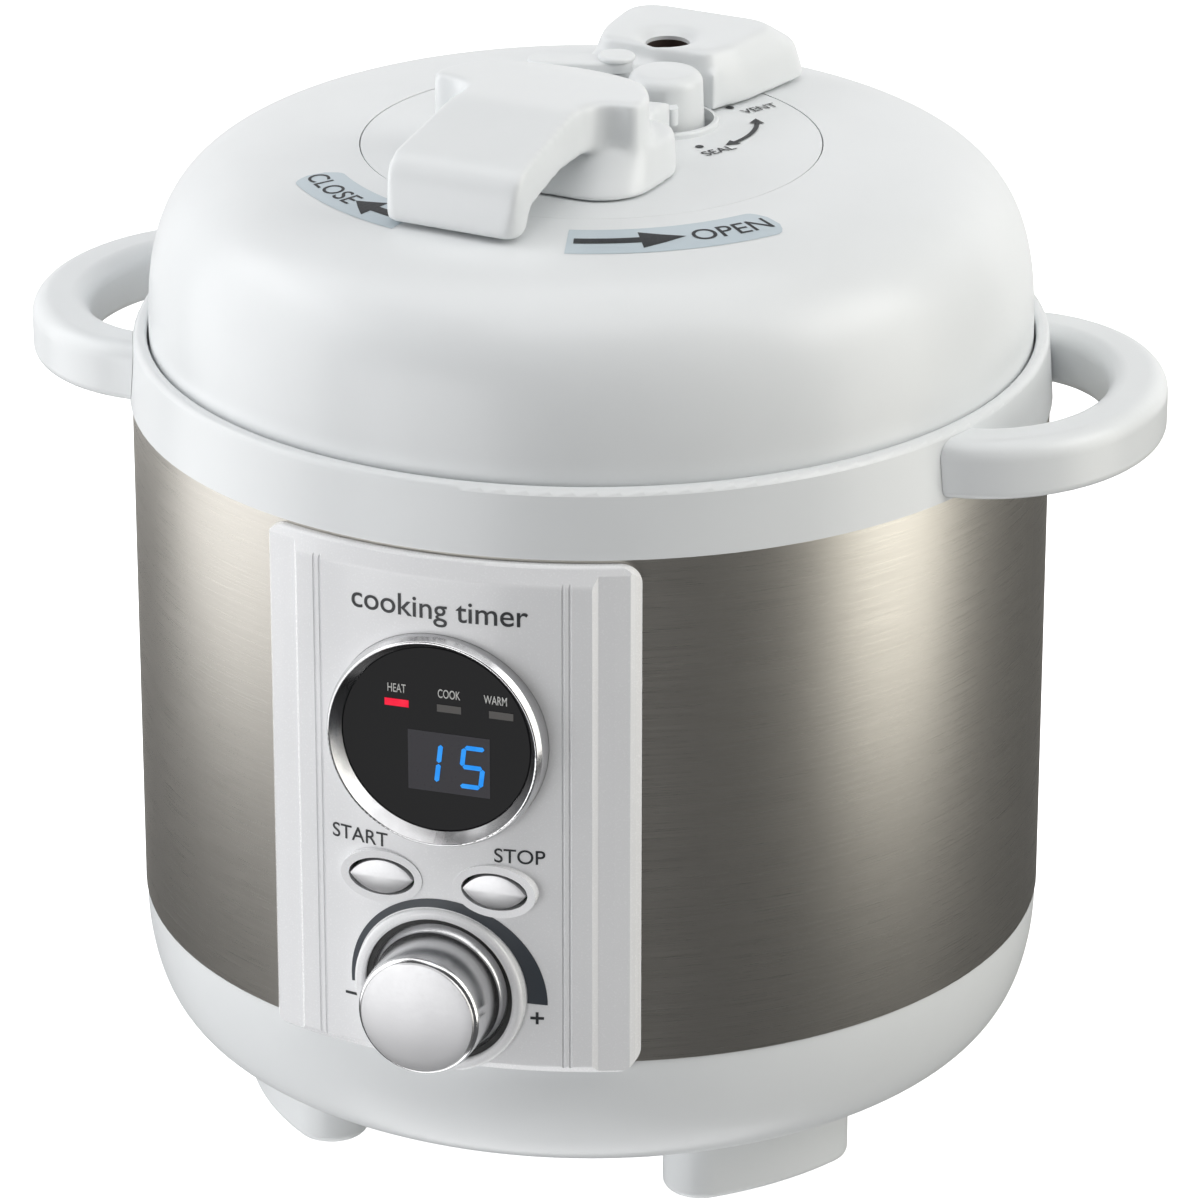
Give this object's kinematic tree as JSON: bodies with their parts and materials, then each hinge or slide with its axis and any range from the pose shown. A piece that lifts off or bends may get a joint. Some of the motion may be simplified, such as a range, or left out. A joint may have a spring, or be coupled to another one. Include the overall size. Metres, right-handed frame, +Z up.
{
  "type": "electric pressure cooker",
  "caption": "Countertop electric pressure cooker: brushed steel drum, white domed twist-lock lid with grip and steam valve, side handles and a curved control panel.",
  "frame": {"origin": "on the pot's axis, in the plane that the rubber feet stand on", "axes": "+Z up along the pot's axis, -Y out through the middle of the control panel, +X through the right side handle"},
  "size_m": [0.28, 0.242, 0.2617],
  "materials": {
    "white_shell": "satin white moulded plastic",
    "pearl_panel": "pearl white lacquered plastic",
    "brushed_steel": "brushed round the drum",
    "chrome_trim": "bright plating",
    "black_lens": "polished",
    "dark_rubber": "matt",
    "silicone": "translucent white silicone",
    "pot_coating": "dark non-stick coating",
    "spun_aluminium": "spun",
    "cast_aluminium": "cast and faced",
    "plain_steel": "plated",
    "lid_steel": "satin pressed sheet",
    "board_green": "solder mask",
    "black_plastic": "fine texture",
    "blue_plastic": "smooth",
    "grey_plastic": "fine texture",
    "brass_pins": "bright",
    "red_lamp": "clear red",
    "fibre_sleeve": "woven sleeve"
  },
  "bodies": {
    "cooker": {"base_housing": "white_shell", "feet": "white_shell", "foot_pads": "dark_rubber", "jacket": "brushed_steel", "collar_ring": "white_shell", "side_handle_left": "white_shell", "side_handle_right": "white_shell", "handle_screws": "plain_steel", "outer_pot": "spun_aluminium", "heat_shield": "plain_steel", "pot_spacers": "plain_steel", "pot_screws": "plain_steel", "heater_plate": "cast_aluminium", "heating_element": "plain_steel", "sensor_bracket": "plain_steel", "sensor_spring": "plain_steel", "pressure_switch": "black_plastic", "thermal_fuse": "fibre_sleeve", "power_board": "board_green", "board_standoffs": "black_plastic", "power_relay": "blue_plastic", "power_capacitor": "black_plastic", "transformer": "grey_plastic", "power_inlet": "black_plastic", "inlet_pins": "brass_pins", "panel_housing": "pearl_panel", "display_bezel": "chrome_trim", "display_lens": "black_lens", "display_module": "grey_plastic", "indicator_lamps": "red_lamp", "control_board": "board_green", "board_screws": "plain_steel", "button_switches": "black_plastic", "encoder_body": "grey_plastic"},
    "cooking_pot": {"inner_pot": "pot_coating"},
    "spring_sensor": {"thermal_sensor": "cast_aluminium"},
    "start_key": {"start_button": "chrome_trim"},
    "stop_key": {"stop_button": "chrome_trim"},
    "dial": {"timer_knob": "chrome_trim", "encoder_shaft": "plain_steel"},
    "lid_seal": {"sealing_ring": "silicone", "seal_retainer": "plain_steel"},
    "lid": {"lid_cover": "white_shell", "lid_top_disc": "white_shell", "lid_handle": "white_shell", "lid_liner": "grey_plastic", "metal_lid": "lid_steel", "lid_screws": "plain_steel", "vent_pipe": "plain_steel", "anti_block_cap": "plain_steel"},
    "steam_valve": {"valve_cap": "white_shell", "valve_weight": "plain_steel"},
    "lever": {"release_lever": "white_shell", "pivot_cap": "white_shell"},
    "pressure_pin": {"float_pin": "red_lamp", "float_seal": "silicone"}
  },
  "joints": [
    {"name": "lid_lift", "type": "slide", "parent": "cooker", "child": "lid_seal", "axis": [0, 0, 1], "range_m": [0, 0.12]},
    {"name": "lid_turn", "type": "hinge", "parent": "lid_seal", "child": "lid", "pos_m": [0, 0, 0.19], "axis": [0, 0, 1], "range_deg": [-30, 0]},
    {"name": "pot_lift", "type": "slide", "parent": "cooker", "child": "cooking_pot", "axis": [0, 0, 1], "range_m": [0, 0.06]},
    {"name": "valve_turn", "type": "hinge", "parent": "lid", "child": "steam_valve", "pos_m": [0.0127, 0.018, 0.245], "axis": [0, 0, 1], "range_deg": [0, 90]},
    {"name": "lever_turn", "type": "hinge", "parent": "lid", "child": "lever", "pos_m": [-0.00146, 0.02402, 0.252], "axis": [0, 0, 1], "range_deg": [-25, 0]},
    {"name": "pin_rise", "type": "slide", "parent": "lid", "child": "pressure_pin", "axis": [0, 0, 1], "range_m": [0, 0.0032]},
    {"name": "start_press", "type": "slide", "parent": "cooker", "child": "start_key", "axis": [0, 1, 0], "range_m": [0, 0.001], "stiffness_N_per_m": 800},
    {"name": "stop_press", "type": "slide", "parent": "cooker", "child": "stop_key", "axis": [0, 1, 0], "range_m": [0, 0.001], "stiffness_N_per_m": 800},
    {"name": "dial_turn", "type": "hinge", "parent": "cooker", "child": "dial", "pos_m": [0, -0.12, 0.071], "axis": [0, -1, 0], "continuous": true},
    {"name": "sensor_press", "type": "slide", "parent": "cooker", "child": "spring_sensor", "axis": [0, 0, -1], "range_m": [0, 0.0015], "stiffness_N_per_m": 600, "springref_m": -0.003, "deforming": ["sensor_spring"]}
  ],
  "couplings": [
    {"joint": "pot_lift", "follows": "lid_lift", "ratio": 0.5}
  ]
}
